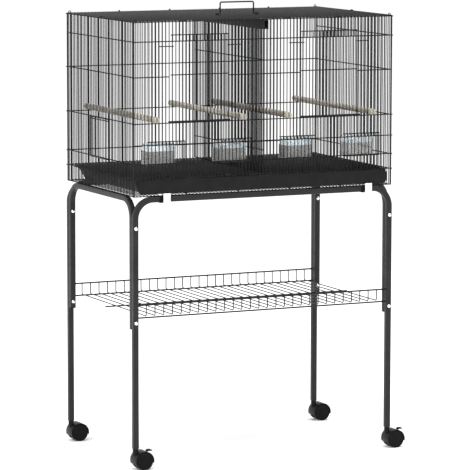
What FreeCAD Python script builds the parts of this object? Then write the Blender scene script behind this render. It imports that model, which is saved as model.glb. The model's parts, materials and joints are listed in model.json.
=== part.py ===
import FreeCAD, Part
import math
import os
import re

import Sketcher
from FreeCAD import Placement, Rotation, Vector

# A flight cage for small birds on a rolling stand, in millimetres.
# +X is the cage's right, -Y its front, +Z up. The floor is z = 0.

DIMENSIONS = (
    # (alias, value, meaning)
    ("centre_shift", 17.5, "from the legs' centre to the middle of the whole outline, along X"),
    ("leg_span_x", 752.5, "between the long legs, left to right"),
    ("leg_span_y", 450.0, "between the long legs, front to back"),
    ("short_span_y", 420.0, "between the two legs of a side tube"),
    ("tube_side", 15.0, "square tube, outside"),
    ("tube_wall", 1.2, "square tube, wall"),
    ("tube_corner", 2.0, "square tube, outer corner radius"),
    ("bend_radius", 50.0, "tube bends, on the centre line"),
    ("rail_z", 719.0, "centre line of the top rails"),
    ("long_foot_z", 57.0, "lower end of the long legs"),
    ("short_foot_z", 377.0, "lower end of the short legs"),
    ("bolt_low_z", 393.0, "lower frame bolts"),
    ("bolt_high_z", 644.0, "upper frame bolts"),
    ("bolt_radius", 2.5, "bolt shank"),
    ("bolt_head_radius", 5.2, "domed bolt head"),
    ("bolt_head_height", 3.4, "domed bolt head"),
    ("bolt_hole_radius", 2.8, "bolt holes in the tubes"),
    ("nut_radius", 4.6, "nut, to its corners"),
    ("nut_height", 4.0, "nut"),
    ("shelf_pitch", 25.4, "between the shelf's floor wires"),
    ("shelf_wire", 1.5, "radius of the shelf's floor wires"),
    ("rim_wire", 2.0, "radius of the shelf's rim wires"),
    ("rim_low_z", 406.0, "lower rim wire of the shelf"),
    ("rim_high_z", 439.5, "upper rim wire of the shelf"),
    ("caster_trail", 19.5, "from the swivel axis to the wheel axle"),
    ("neck_radius", 7.4, "caster neck"),
    ("neck_low", 40.0, "lower end of the caster neck, inside the hood"),
    ("stem_low", 50.0, "lower end of the caster stem, inside the neck"),
    ("wheel_radius", 24.0, "caster wheels"),
    ("hood_inner", 24.6, "inside radius of the caster hood"),
    ("hood_outer", 26.2, "outside radius of the caster hood"),
    ("hood_width", 42.0, "caster hood"),
    ("hood_web", 7.0, "web between a caster's two wheels"),
    ("axle_radius", 3.0, "caster axle"),
    ("stem_radius", 5.0, "caster stem"),
    ("stem_top", 92.0, "upper end of the caster stem"),
    ("pivot_ahead", 13.9, "brake lever's pin, ahead of the wheel axle"),
    ("pivot_rise", 26.1, "brake lever's pin, above the wheel axle"),
    ("ear_width", 5.0, "the hood's ear that carries the brake lever"),
    ("lever_reach", 12.5, "brake lever, from its pin to the tip's centre"),
    ("lever_width", 14.0, "brake lever"),
    ("cage_width", 762.0, "cage, left to right over its wires"),
    ("cage_depth", 457.0, "cage, front to back over its wires"),
    ("cage_bottom", 726.5, "underside of the cage, on the rails"),
    ("cage_top", 1189.0, "upper side of the roof wires"),
    ("bars_x", 75.0, "spaces between the front wall's upright wires"),
    ("bars_y", 45.0, "spaces between a side wall's upright wires"),
    ("fine", 1.0, "radius of the closely spaced wires"),
    ("stout", 1.3, "radius of the cross wires"),
    ("heavy", 2.25, "radius of a door's bottom bar"),
    ("weld", 0.02, "gap left between wires that are welded together"),
    ("slack", 0.4, "clearance between a sliding door and the wall"),
    ("level_upper", 1134.0, "first cross wire, above the large doors' opening"),
    ("level_middle", 1041.0, "second cross wire"),
    ("level_perch", 919.0, "third cross wire, which carries the perches"),
    ("level_hatch", 862.0, "front cross wire above the feeder openings"),
    ("level_cup", 812.0, "cross wire below the feeder openings"),
    ("level_grate", 771.5, "cross wire that carries the floor grate"),
    ("door_centre", 191.0, "large doors, from the middle"),
    ("door_width", 161.4, "large doors, between their side wires"),
    ("door_low", 922.6, "bottom bar of the large doors"),
    ("door_middle", 1046.0, "cross wire of the large doors"),
    ("door_high", 1151.0, "top wire of the large doors"),
    ("guide_z", 1121.5, "guide wires beside the large doors"),
    ("hatch_width", 107.0, "feeder doors"),
    ("hatch_high", 871.0, "top wire of the feeder doors"),
    ("side_door_width", 116.0, "side doors"),
    ("cup_width", 80.0, "feeder cups"),
    ("cup_depth", 53.0, "feeder cups"),
    ("cup_low", 808.5, "underside of the feeder cups"),
    ("cup_high", 845.0, "rim of the feeder cups"),
    ("cup_front", -223.5, "front face of the feeder cups"),
    ("hood_top", 864.0, "top of the cups' clear hoods"),
    ("perch_radius", 8.2, "perches"),
    ("perch_z", 929.0, "centre line of the perches"),
    ("perch_length", 482.0, "perches"),
    ("tray_low", 734.7, "underside of the tray's floor"),
    ("tray_high", 769.5, "tray's lip"),
    ("tray_lip_width", 744.0, "tray's lip, left to right"),
    ("tray_front", -229.5, "front face of the tray"),
    ("tray_back", 222.0, "rear edge of the tray's lip"),
    ("tray_wall", 2.0, "tray's wall"),
    ("screen_low", 836.0, "lower cross wire of the divider screen"),
    ("screen_high", 1077.0, "upper cross wire of the divider screen"),
    ("rail_width", 13.4, "divider rail"),
    ("rail_low", 1159.0, "lower edge of the divider rail"),
    ("rail_high", 1184.3, "top of the divider rail"),
    ("rail_wall", 2.0, "divider rail"),
    ("rail_front", -236.0, "front end of the divider rail"),
    ("rail_back", 226.0, "rear end of the divider rail"),
    ("handle_width", 99.6, "carrying handle, between its uprights"),
    ("handle_wire", 2.0, "radius of the handle's wire"),
    ("handle_pivot", 1191.3, "height of the handle's pivot"),
    ("handle_top", 1223.5, "centre line of the handle's grip"),
    ("handle_y", -52.0, "handle, from the middle"),
    ("handle_pin", 14.0, "the handle's bent-out ends"),
    ("clip_left", -288.0, "left clip on a rail"),
    ("clip_spacing", 598.0, "between the two clips on a rail"),
    ("clip_width", 20.0, "white clips"),
)

DOC = FreeCAD.newDocument("bird_cage")
SHEET = DOC.addObject("Spreadsheet::Sheet", "dims")
ALIASES = {alias for alias, value, meaning in DIMENSIONS}
NODES = []
AXIS_ROLES = {"x": "X_Axis", "y": "Y_Axis", "z": "Z_Axis"}

# Places along the front wall, counted in spaces between its upright wires.
FRONT_PITCH = "(cage_width - 2 * fine) / bars_x"
STRUT_STEPS = (-22.5, -7.5, 7.5, 22.5)
HATCH_STEPS = (-28.5, -9.5, 9.5, 28.5)
HATCH_REACH = 5
DOOR_STEPS = (10.5, 27.5)
PERCH_STEPS = (-31.5, -6.5, 6.5, 31.5)
SIDE_DOOR_REACH = 5.5

# How far each cup stands from the middle of its feeder opening.
CUP_OFFSETS = (-9.0, 5.5, 10.0, 1.5)

# The brake lever's pin, from the swivel axis and from the floor.
PIVOT_X = "caster_trail + pivot_ahead"
PIVOT_Z = "wheel_radius + pivot_rise"


def fill_sheet():
    """Write the driving dimensions into the sheet, one named cell each."""
    for row, (alias, value, meaning) in enumerate(DIMENSIONS, 1):
        SHEET.set("A%d" % row, alias)
        SHEET.set("B%d" % row, str(value))
        SHEET.set("C%d" % row, meaning)
        SHEET.setAlias("B%d" % row, alias)
    DOC.recompute()


def formula(text):
    """An expression on the sheet's names, as the document writes it."""
    return re.sub("[a-z_]+", lambda word: "dims." + word[0] if word[0] in ALIASES else word[0], str(text))


def size(text):
    """The present value of an expression on the sheet's names."""
    return float(SHEET.evalExpression(formula(text)))


# ---- helpers for bodies and sketches ----

def new_body(label, x=0, y=0, z=0):
    """A body whose own origin stands at (x, y, z) from the legs' centre on the floor."""
    body = DOC.addObject("PartDesign::Body", label)
    body.AllowCompound = True
    for axis, text in (("x", "%s - centre_shift" % x), ("y", y), ("z", z)):
        body.setExpression(".Placement.Base." + axis, formula(text))
    NODES.append(body)
    return body


def origin_feature(body, role):
    return next(feature for feature in body.Origin.OriginFeatures if feature.Role == role)


def new_sketch(body, plane, offset=0):
    """A sketch on one of the body's origin planes, moved along the plane's normal."""
    sketch = body.newObject("Sketcher::SketchObject", body.Name + "_sketch")
    sketch.AttachmentSupport = [(origin_feature(body, plane + "_Plane"), "")]
    sketch.MapMode = "FlatFace"
    sketch.setExpression(".AttachmentOffset.Base.z", formula(offset))
    return sketch


def bind(sketch, constraint, text):
    """Add a dimension whose value follows an expression."""
    index = sketch.addConstraint(constraint)
    name = "size_%d" % index
    sketch.renameConstraint(index, name)
    sketch.setExpression("Constraints." + name, formula(text))


def pin(sketch, geometry, point, x, y):
    """Hold a sketch point at (x, y), both expressions."""
    for kind, text, axis_line in (("DistanceX", x, -2), ("DistanceY", y, -1)):
        value = size(text)
        if abs(value) < 1e-9:
            sketch.addConstraint(Sketcher.Constraint("PointOnObject", geometry, point, axis_line))
        elif value > 0:
            bind(sketch, Sketcher.Constraint(kind, -1, 1, geometry, point, value), text)
        else:
            bind(sketch, Sketcher.Constraint(kind, geometry, point, -1, 1, -value), "-(%s)" % text)


def draw_circle(sketch, x, y, radius):
    centre = Vector(size(x), size(y), 0)
    index = sketch.addGeometry(Part.Circle(centre, Vector(0, 0, 1), size(radius)))
    pin(sketch, index, 3, x, y)
    bind(sketch, Sketcher.Constraint("Radius", index, size(radius)), radius)


def draw_polygon(sketch, corners):
    """A closed outline of straight lines through (x, y) expressions."""
    points = [Vector(size(x), size(y), 0) for x, y in corners]
    first = sketch.GeometryCount
    count = len(points)
    for index in range(count):
        sketch.addGeometry(Part.LineSegment(points[index], points[(index + 1) % count]))
    for index in range(count):
        following = first + (index + 1) % count
        sketch.addConstraint(Sketcher.Constraint("Coincident", first + index, 2, following, 1))
    for index, (x, y) in enumerate(corners):
        pin(sketch, first + index, 1, x, y)


def draw_rounded_rectangle(sketch, low_x, high_x, low_y, high_y, radius):
    """A rectangle with round corners; its sides stand at the four expressions."""
    left, right, bottom, top, corner = (size(text) for text in (low_x, high_x, low_y, high_y, radius))
    upright = Vector(0, 0, 1)
    first = sketch.GeometryCount
    quarter = math.pi / 2
    lines = (
        ((left + corner, bottom), (right - corner, bottom)),
        ((right, bottom + corner), (right, top - corner)),
        ((right - corner, top), (left + corner, top)),
        ((left, top - corner), (left, bottom + corner)),
    )
    centres = (
        (right - corner, bottom + corner, 3 * quarter),
        (right - corner, top - corner, 0),
        (left + corner, top - corner, quarter),
        (left + corner, bottom + corner, 2 * quarter),
    )
    for (start, end), (x, y, angle) in zip(lines, centres):
        sketch.addGeometry(Part.LineSegment(Vector(*start, 0), Vector(*end, 0)))
        ring = Part.Circle(Vector(x, y, 0), upright, corner)
        sketch.addGeometry(Part.ArcOfCircle(ring, angle, angle + quarter))
    for side in range(4):
        line = first + 2 * side
        following = first + 2 * ((side + 1) % 4)
        sketch.addConstraint(Sketcher.Constraint("Tangent", line, 2, line + 1, 1))
        sketch.addConstraint(Sketcher.Constraint("Tangent", line + 1, 2, following, 1))
        sketch.addConstraint(Sketcher.Constraint("Vertical" if side % 2 else "Horizontal", line))
        if side:
            sketch.addConstraint(Sketcher.Constraint("Equal", first + 1, line + 1))
    bind(sketch, Sketcher.Constraint("Radius", first + 1, corner), radius)
    pin(sketch, first, 1, "%s + (%s)" % (low_x, radius), low_y)
    pin(sketch, first + 4, 1, "%s - (%s)" % (high_x, radius), high_y)


def draw_sector(sketch, x, y, inner, outer, first_angle, last_angle):
    """A piece of a ring about (x, y), between two angles in degrees."""
    centre = Vector(size(x), size(y), 0)
    angles = [math.radians(first_angle), math.radians(last_angle)]
    start = sketch.GeometryCount
    for radius in (outer, inner):
        ring = Part.Circle(centre, Vector(0, 0, 1), size(radius))
        index = sketch.addGeometry(Part.ArcOfCircle(ring, *angles))
        pin(sketch, index, 3, x, y)
        bind(sketch, Sketcher.Constraint("Radius", index, size(radius)), radius)
    for end, angle in ((1, angles[0]), (2, angles[1])):
        ray = Vector(math.cos(angle), math.sin(angle), 0)
        line = sketch.addGeometry(Part.LineSegment(centre + ray * size(inner), centre + ray * size(outer)))
        sketch.addConstraint(Sketcher.Constraint("Coincident", line, 1, start + 1, end))
        sketch.addConstraint(Sketcher.Constraint("Coincident", line, 2, start, end))


def pad(body, sketch, length, both_sides=False, backwards=False):
    feature = body.newObject("PartDesign::Pad", body.Name + "_pad")
    feature.Profile = sketch
    feature.setExpression("Length", formula(length))
    feature.SideType = "Symmetric" if both_sides else "One side"
    feature.Reversed = backwards
    DOC.recompute()
    return feature


def cut_through(body, sketch, length=None):
    """Remove a sketch's outline on both sides of its plane, right through unless a length is given."""
    before = body.Shape.Volume
    feature = body.newObject("PartDesign::Pocket", body.Name + "_cut")
    feature.Profile = sketch
    feature.SideType = "Symmetric"
    if length is None:
        feature.Type = "ThroughAll"
    else:
        feature.setExpression("Length", formula(length))
    DOC.recompute()
    if not body.Shape.Volume < before - 1e-3:
        raise RuntimeError("%s: the cut removes nothing" % body.Name)
    return feature


def revolve(body, sketch):
    """Turn a sketch's outline once round the sketch's vertical axis."""
    feature = body.newObject("PartDesign::Revolution", body.Name + "_turned")
    feature.Profile = sketch
    feature.ReferenceAxis = (sketch, ["V_Axis"])
    feature.Angle = 360
    DOC.recompute()
    return feature


def repeat(body, features, rows, mirror=None):
    """Copy a body's features along axes, two by two, and across an origin plane."""
    many = body.newObject("PartDesign::MultiTransform", body.Name + "_copies")
    many.Originals = features
    steps = []
    for axis, length in rows:
        row = body.newObject("PartDesign::LinearPattern", body.Name + "_row")
        row.Direction = (origin_feature(body, AXIS_ROLES[axis]), [""])
        row.setExpression("Length", formula(length))
        row.Occurrences = 2
        steps.append(row)
    if mirror:
        twin = body.newObject("PartDesign::Mirrored", body.Name + "_twin")
        twin.MirrorPlane = (origin_feature(body, mirror + "_Plane"), [""])
        steps.append(twin)
    many.Transformations = steps
    body.Tip = many
    DOC.recompute()


# ---- helpers for wirework ----

def rod(start, end, radius):
    """A straight round wire."""
    start = Vector(*start)
    run = Vector(*end) - start
    return Part.makeCylinder(radius, run.Length, start, run)


def bent_rod(points, radius, bend):
    """A round wire along straight runs joined by arcs of one radius."""
    points = [Vector(*point) for point in points]
    edges = []
    start = points[0]
    for before, corner, after in zip(points, points[1:], points[2:]):
        backward = (before - corner).normalize()
        forward = (after - corner).normalize()
        half_angle = backward.getAngle(forward) / 2
        reach = bend / math.tan(half_angle)
        arc_start = corner + backward * reach
        arc_end = corner + forward * reach
        inward = (backward + forward).normalize()
        arc_middle = corner + inward * (bend / math.sin(half_angle) - bend)
        edges.append(Part.LineSegment(start, arc_start).toShape())
        edges.append(Part.Arc(arc_start, arc_middle, arc_end).toShape())
        start = arc_end
    edges.append(Part.LineSegment(start, points[-1]).toShape())
    section = Part.Wire(Part.makeCircle(radius, points[0], points[1] - points[0]))
    return Part.Wire(edges).makePipeShell([section], True, True)


def wire_node(label, solids):
    """Welded wirework as one sub-part: each wire stays a solid of its own."""
    node = DOC.addObject("Part::Feature", label)
    node.Shape = Part.makeCompound(solids)
    node.Placement = Placement(Vector(-size("centre_shift"), 0, 0), Rotation())
    NODES.append(node)


def evenly(first, last, spaces):
    """Positions from first to last with a number of equal spaces."""
    return [first + (last - first) * index / spaces for index in range(spaces + 1)]


def leave_out(span, gaps):
    """The stretches of a span that lie outside the gaps."""
    stretches = []
    low, high = span
    for start, end in sorted(gaps):
        if start < high and end > low:
            stretches.append((low, start))
            low = end
    stretches.append((low, high))
    return stretches


# ---- stand ----

def u_tube(label, plane, span, foot, y):
    """An inverted U of square tube with its legs a span apart and bolt holes through them."""
    body = new_body(label, y=y)
    half = size(span) / 2
    rail, bend, low = size("rail_z"), size("bend_radius"), size(foot)
    path = new_sketch(body, plane)
    upright = Vector(0, 0, 1)
    left_bend = Part.Circle(Vector(bend - half, rail - bend, 0), upright, bend)
    right_bend = Part.Circle(Vector(half - bend, rail - bend, 0), upright, bend)
    path.addGeometry([
        Part.LineSegment(Vector(-half, low, 0), Vector(-half, rail - bend, 0)),
        Part.ArcOfCircle(left_bend, math.pi / 2, math.pi),
        Part.LineSegment(Vector(bend - half, rail, 0), Vector(half - bend, rail, 0)),
        Part.ArcOfCircle(right_bend, 0, math.pi / 2),
        Part.LineSegment(Vector(half, rail - bend, 0), Vector(half, low, 0)),
    ])
    joints = ((0, 2, 1, 2), (1, 1, 2, 1), (2, 2, 3, 2), (3, 1, 4, 1))
    for joint in joints:
        path.addConstraint(Sketcher.Constraint("Tangent", *joint))
    for kind, line in (("Vertical", 0), ("Vertical", 4), ("Horizontal", 2)):
        path.addConstraint(Sketcher.Constraint(kind, line))
    path.addConstraint(Sketcher.Constraint("Equal", 1, 3))
    path.addConstraint(Sketcher.Constraint("Symmetric", 0, 1, 4, 2, -2))
    bind(path, Sketcher.Constraint("Radius", 1, bend), "bend_radius")
    bind(path, Sketcher.Constraint("DistanceX", 0, 1, 4, 2, 2 * half), span)
    bind(path, Sketcher.Constraint("DistanceY", -1, 1, 0, 1, low), foot)
    bind(path, Sketcher.Constraint("DistanceY", -1, 1, 2, 1, rail), "rail_z")
    section = new_sketch(body, "XY", foot)
    for inset, radius in (("0", "tube_corner"), ("tube_wall", "tube_corner - tube_wall")):
        near = "-%s / 2 - tube_side / 2 + %s" % (span, inset)
        far = "-%s / 2 + tube_side / 2 - %s" % (span, inset)
        low_side, high_side = "-tube_side / 2 + %s" % inset, "tube_side / 2 - %s" % inset
        if plane == "XZ":
            draw_rounded_rectangle(section, near, far, low_side, high_side, radius)
        else:
            draw_rounded_rectangle(section, low_side, high_side, near, far, radius)
    DOC.recompute()
    pipe = body.newObject("PartDesign::AdditivePipe", label + "_pipe")
    pipe.Profile = section
    pipe.Spine = (path, ["Edge%d" % (index + 1) for index in range(5)])
    DOC.recompute()
    holes = new_sketch(body, "XZ")
    for x in ("-%s / 2" % span, "%s / 2" % span) if plane == "XZ" else ("0",):
        for z in ("bolt_low_z", "bolt_high_z"):
            draw_circle(holes, x, z, "bolt_hole_radius")
    cut_through(body, holes)
    return body


def side_tube(label, side):
    body = u_tube(label, "YZ", "short_span_y", "short_foot_z", "0")
    body.setExpression(".Placement.Base.x", formula("%d * leg_span_x / 2 - centre_shift" % side))


def frame_bolts():
    """Eight domed bolts, all with their heads towards the front."""
    body = new_body("frame_bolts", "-leg_span_x / 2", "-leg_span_y / 2 - tube_side / 2", "bolt_low_z")
    sketch = new_sketch(body, "XY")
    head, shank = "bolt_head_radius", "bolt_radius"
    draw_polygon(sketch, (
        ("0", "-bolt_head_height"),
        ("%s * 0.55" % head, "-bolt_head_height * 0.86"),
        ("%s * 0.88" % head, "-bolt_head_height * 0.5"),
        (head, "-0.3"),
        (head, "0"),
        (shank, "0"),
        (shank, "2 * tube_side + nut_height + 1.5"),
        ("0", "2 * tube_side + nut_height + 1.5"),
    ))
    repeat(body, [revolve(body, sketch)], bolt_rows())


def bolt_rows():
    """The front bolts' heads are on the long legs and the rear bolts' heads on the short legs."""
    return (
        ("x", "leg_span_x"),
        ("z", "bolt_high_z - bolt_low_z"),
        ("y", "leg_span_y / 2 + short_span_y / 2"),
    )


def frame_nuts():
    """Eight hexagon nuts on the far ends of the bolts."""
    body = new_body("frame_nuts", "-leg_span_x / 2", "-leg_span_y / 2 + tube_side * 1.5", "bolt_low_z")
    sketch = new_sketch(body, "XZ")
    corners = [(math.cos(math.radians(60 * step)), math.sin(math.radians(60 * step))) for step in range(6)]
    draw_polygon(sketch, [("nut_radius * %.6f" % x, "nut_radius * %.6f" % y) for x, y in corners])
    draw_circle(sketch, "0", "0", "bolt_radius + 0.02")
    nut = pad(body, sketch, "nut_height", backwards=True)
    repeat(body, [nut], bolt_rows())


def short_leg_plugs():
    """Plastic plugs that close the open lower ends of the short legs."""
    body = new_body("short_leg_plugs", "-leg_span_x / 2", "-short_span_y / 2", "short_foot_z")
    sketch = new_sketch(body, "XY", "-2")
    half = "tube_side / 2"
    draw_rounded_rectangle(sketch, "-" + half, half, "-" + half, half, "tube_corner")
    plug = pad(body, sketch, "2")
    repeat(body, [plug], (("x", "leg_span_x"), ("y", "short_span_y")))


def caster_sockets():
    """Plastic sleeves in the long legs; each holds a caster's stem."""
    body = new_body("caster_sockets", "-leg_span_x / 2", "-leg_span_y / 2", "long_foot_z")
    sketch = new_sketch(body, "XY")
    half = "tube_side / 2 - tube_wall - 0.05"
    draw_rounded_rectangle(sketch, "-(%s)" % half, half, "-(%s)" % half, half, "0.7")
    draw_circle(sketch, "0", "0", "stem_radius + 0.05")
    sleeve = pad(body, sketch, "stem_top - long_foot_z + 3")
    repeat(body, [sleeve], (("x", "leg_span_x"), ("y", "leg_span_y")))


def shelf_floor():
    """U-bent wires from rim to rim, with one wire across below them."""
    wire, rim = size("shelf_wire"), size("rim_wire")
    reach = size("leg_span_y") / 2 - rim - wire - size("weld")
    low = size("rim_low_z") + rim + wire + size("weld")
    high = size("rim_high_z") + 1.5
    spaces = 27
    half = size("shelf_pitch") * spaces / 2
    solids = []
    for x in evenly(-half, half, spaces):
        corners = ((x, -reach, high), (x, -reach, low), (x, reach, low), (x, reach, high))
        solids.append(bent_rod(corners, wire, 3 * wire))
    end = size("leg_span_x / 2 - tube_side / 2 - 2")
    below = size("rim_low_z")
    solids.append(rod((-end, 0, below), (end, 0, below), rim))
    wire_node("shelf_floor", solids)


def shelf_rim(label, side):
    """Two wires between the long legs."""
    y = side * size("leg_span_y") / 2
    end = size("leg_span_x / 2 - tube_side / 2") - size("weld")
    levels = (size("rim_low_z"), size("rim_high_z"))
    wire_node(label, [rod((-end, y, z), (end, y, z), size("rim_wire")) for z in levels])


def cage_clips():
    """White plastic clips that hold the cage's bottom wire down on the rails."""
    body = new_body("cage_clips", z="rail_z")
    sketch = new_sketch(body, "YZ", "clip_left")
    rail_front = "-leg_span_y / 2 - tube_side / 2"
    face, back = rail_front + " - 2.9", rail_front + " - 0.4"
    rail_back = "-leg_span_y / 2 + tube_side / 2"
    hook_front, hook_back = "-cage_depth / 2 + 5", "-cage_depth / 2 + 7"
    draw_polygon(sketch, (
        (face, "-10.8"),
        (rail_back + " + 2.3", "-10.8"),
        (rail_back + " + 2.3", "-0.5"),
        (rail_back + " + 0.3", "-0.5"),
        (rail_back + " + 0.3", "-8.3"),
        (back, "-8.3"),
        (back, "10.8"),
        (hook_front, "10.8"),
        (hook_front, "8.0"),
        (hook_back, "8.0"),
        (hook_back, "13.1"),
        (back, "13.1"),
        (back, "15.3"),
        (face, "15.3"),
    ))
    clip = pad(body, sketch, "clip_width", both_sides=True)
    repeat(body, [clip], (("x", "clip_spacing"),))


def clip_saddles():
    """Black sleeves on the rails beside the clips."""
    body = new_body("clip_saddles", z="rail_z")
    sketch = new_sketch(body, "YZ", "clip_left - clip_width / 2 - 0.5")
    half, wall = "tube_side / 2", "1.5"
    centre = "-leg_span_y / 2"
    draw_polygon(sketch, (
        ("%s - %s - %s" % (centre, half, wall), half + " - 0.2"),
        ("%s - %s - %s" % (centre, half, wall), "-%s - %s" % (half, wall)),
        ("%s + %s + %s" % (centre, half, wall), "-%s - %s" % (half, wall)),
        ("%s + %s + %s" % (centre, half, wall), half + " - 0.2"),
        ("%s + %s + 0.02" % (centre, half), half + " - 0.2"),
        ("%s + %s + 0.02" % (centre, half), "-%s - 0.02" % half),
        ("%s - %s - 0.02" % (centre, half), "-%s - 0.02" % half),
        ("%s - %s - 0.02" % (centre, half), half + " - 0.2"),
    ))
    saddle = pad(body, sketch, "10", backwards=True)
    repeat(body, [saddle], (("x", "clip_spacing"),))


# ---- casters ----

def caster_hood(label, x, y, with_lug):
    """Fender over the twin wheels, the web between them, the neck and the stem."""
    body = new_body(label, x, y)
    axle = ("caster_trail", "wheel_radius")
    neck = new_sketch(body, "XY", "neck_low")
    draw_circle(neck, "0", "0", "neck_radius")
    pad(body, neck, "long_foot_z - 0.4 - neck_low")
    shell = new_sketch(body, "XZ")
    draw_sector(shell, *axle, "hood_inner", "hood_outer", -12, 200)
    pad(body, shell, "hood_width", both_sides=True)
    well = new_sketch(body, "XZ")
    draw_circle(well, *axle, "hood_inner")
    cut_through(body, well)
    web = new_sketch(body, "XZ")
    draw_sector(web, *axle, "axle_radius + 2.5", "hood_inner + 0.4", -12, 200)
    pad(body, web, "hood_web", both_sides=True)
    boss = new_sketch(body, "XZ")
    draw_circle(boss, *axle, "axle_radius + 3")
    pad(body, boss, "hood_web", both_sides=True)
    stem = new_sketch(body, "XY", "stem_low")
    draw_circle(stem, "0", "0", "stem_radius")
    pad(body, stem, "stem_top - stem_low")
    bore = new_sketch(body, "XZ")
    draw_circle(bore, *axle, "axle_radius + 0.05")
    cut_through(body, bore)
    if with_lug:
        add_brake_lug(body)


def add_brake_lug(body):
    """The ear on the fender that carries the brake lever's pin."""
    ear = new_sketch(body, "XZ")
    draw_circle(ear, PIVOT_X, PIVOT_Z, "2.8")
    pad(body, ear, "ear_width", both_sides=True)
    root = new_sketch(body, "XZ")
    across, down = 2.3, 4.6
    lean = math.atan2(size("pivot_ahead"), size("pivot_rise"))
    corners = []
    for side, drop in ((-1, 0), (1, 0), (1, 1), (-1, 1)):
        dx = side * across * math.cos(lean) - drop * down * math.sin(lean)
        dz = -side * across * math.sin(lean) - drop * down * math.cos(lean)
        corners.append(("%s + %.4f" % (PIVOT_X, dx), "%s + %.4f" % (PIVOT_Z, dz)))
    draw_polygon(root, corners)
    pad(body, root, "ear_width", both_sides=True)
    hole = new_sketch(body, "XZ")
    draw_circle(hole, PIVOT_X, PIVOT_Z, "1.26")
    cut_through(body, hole, "ear_width + 1")


def caster_wheels(label, x, y):
    """Two wheels on one axle, each with a dished outer face."""
    body = new_body(label, "%s + caster_trail" % x, y, "wheel_radius")
    sketch = new_sketch(body, "XY")
    inner, outer = "hood_web / 2 + 0.4", "hood_width / 2 - 0.5"
    draw_polygon(sketch, (
        ("axle_radius", inner),
        ("wheel_radius - 1.2", inner),
        ("wheel_radius", inner + " + 1.2"),
        ("wheel_radius", outer + " - 1.8"),
        ("wheel_radius - 1.8", outer),
        ("wheel_radius - 4.5", outer),
        ("wheel_radius - 5.5", outer + " - 1"),
        ("axle_radius", outer + " - 1"),
    ))
    repeat(body, [revolve(body, sketch)], (), mirror="XZ")


def caster_axle(label, x, y):
    body = new_body(label, "%s + caster_trail" % x, y, "wheel_radius")
    sketch = new_sketch(body, "XZ")
    draw_circle(sketch, "0", "0", "axle_radius")
    pad(body, sketch, "hood_width - 3", both_sides=True)


def brake_lever(label, x, y):
    """A small tab forked over its ear, with its pin."""
    body = new_body(label, "%s + %s" % (x, PIVOT_X), y, PIVOT_Z)
    root, tip, droop = 2.8, 1.6, math.radians(-10)
    reach = size("lever_reach")
    lean = math.acos((root - tip) / reach)
    centre = Vector(reach * math.cos(droop), reach * math.sin(droop), 0)
    upper = Vector(math.cos(droop + lean), math.sin(droop + lean), 0)
    lower = Vector(math.cos(droop - lean), math.sin(droop - lean), 0)
    sketch = new_sketch(body, "XZ")
    arcs = (
        (Vector(), root, droop + lean, droop - lean + 2 * math.pi),
        (centre, tip, droop - lean, droop + lean),
    )
    for middle, radius, first, last in arcs:
        ring = Part.Circle(middle, Vector(0, 0, 1), radius)
        index = sketch.addGeometry(Part.ArcOfCircle(ring, first, last))
        bind(sketch, Sketcher.Constraint("Radius", index, radius), str(radius))
    for ray in (upper, lower):
        sketch.addGeometry(Part.LineSegment(ray * root, centre + ray * tip))
    sketch.addConstraint([
        Sketcher.Constraint("Tangent", 0, 1, 2, 1),
        Sketcher.Constraint("Tangent", 1, 2, 2, 2),
        Sketcher.Constraint("Tangent", 0, 2, 3, 1),
        Sketcher.Constraint("Tangent", 1, 1, 3, 2),
        Sketcher.Constraint("Coincident", 0, 3, -1, 1),
    ])
    bind(sketch, Sketcher.Constraint("DistanceX", -1, 1, 1, 3, centre.x), "lever_reach * cos(10)")
    bind(sketch, Sketcher.Constraint("DistanceY", 1, 3, -1, 1, -centre.y), "lever_reach * sin(10)")
    pad(body, sketch, "lever_width", both_sides=True)
    fork = new_sketch(body, "XZ")
    draw_circle(fork, "0", "0", "4.2")
    cut_through(body, fork, "ear_width + 0.6")
    pin_sketch = new_sketch(body, "XZ")
    draw_circle(pin_sketch, "0", "0", "1.2")
    pad(body, pin_sketch, "8", both_sides=True)


def casters():
    for place, side_x, side_y in (("front_left", -1, -1), ("front_right", 1, -1),
                                  ("rear_left", -1, 1), ("rear_right", 1, 1)):
        x = "%d * leg_span_x / 2" % side_x
        y = "%d * leg_span_y / 2" % side_y
        braked = side_y < 0
        caster_hood("caster_hood_" + place, x, y, braked)
        caster_wheels("caster_wheels_" + place, x, y)
        caster_axle("caster_axle_" + place, x, y)
        if braked:
            brake_lever("brake_lever_" + place, x, y)


# ---- cage ----

def wall_x():
    """Centre plane of the side walls' upright wires."""
    return size("cage_width") / 2 - size("fine")


def wall_y():
    """Centre plane of the front and rear walls' upright wires."""
    return size("cage_depth") / 2 - size("fine")


def cross_inset():
    """From a wall's upright wires to the cross wires behind them."""
    return size("fine") + size("stout") + size("weld")


def columns():
    """Where the upright wires of the front and rear walls stand."""
    return evenly(-wall_x(), wall_x(), round(size("bars_x")))


def ranks():
    """Where the upright wires of the side walls stand, without the corner wires."""
    return evenly(-wall_y(), wall_y(), round(size("bars_y")))[1:-1]


def strut_columns():
    """The four places where stouter wires run from front to back."""
    return [size(FRONT_PITCH) * steps for steps in STRUT_STEPS]


def cross_levels(*names):
    top = size("cage_top") - 2 * size("fine") - size("stout") - size("weld")
    return [size(name) for name in names] + [top]


def upright_top():
    return size("cage_top") - 2 * size("fine") - size("weld")


def hatch_centres():
    return [size(FRONT_PITCH) * steps for steps in HATCH_STEPS]


def cup_centres():
    return [centre + offset for centre, offset in zip(hatch_centres(), CUP_OFFSETS)]


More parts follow.
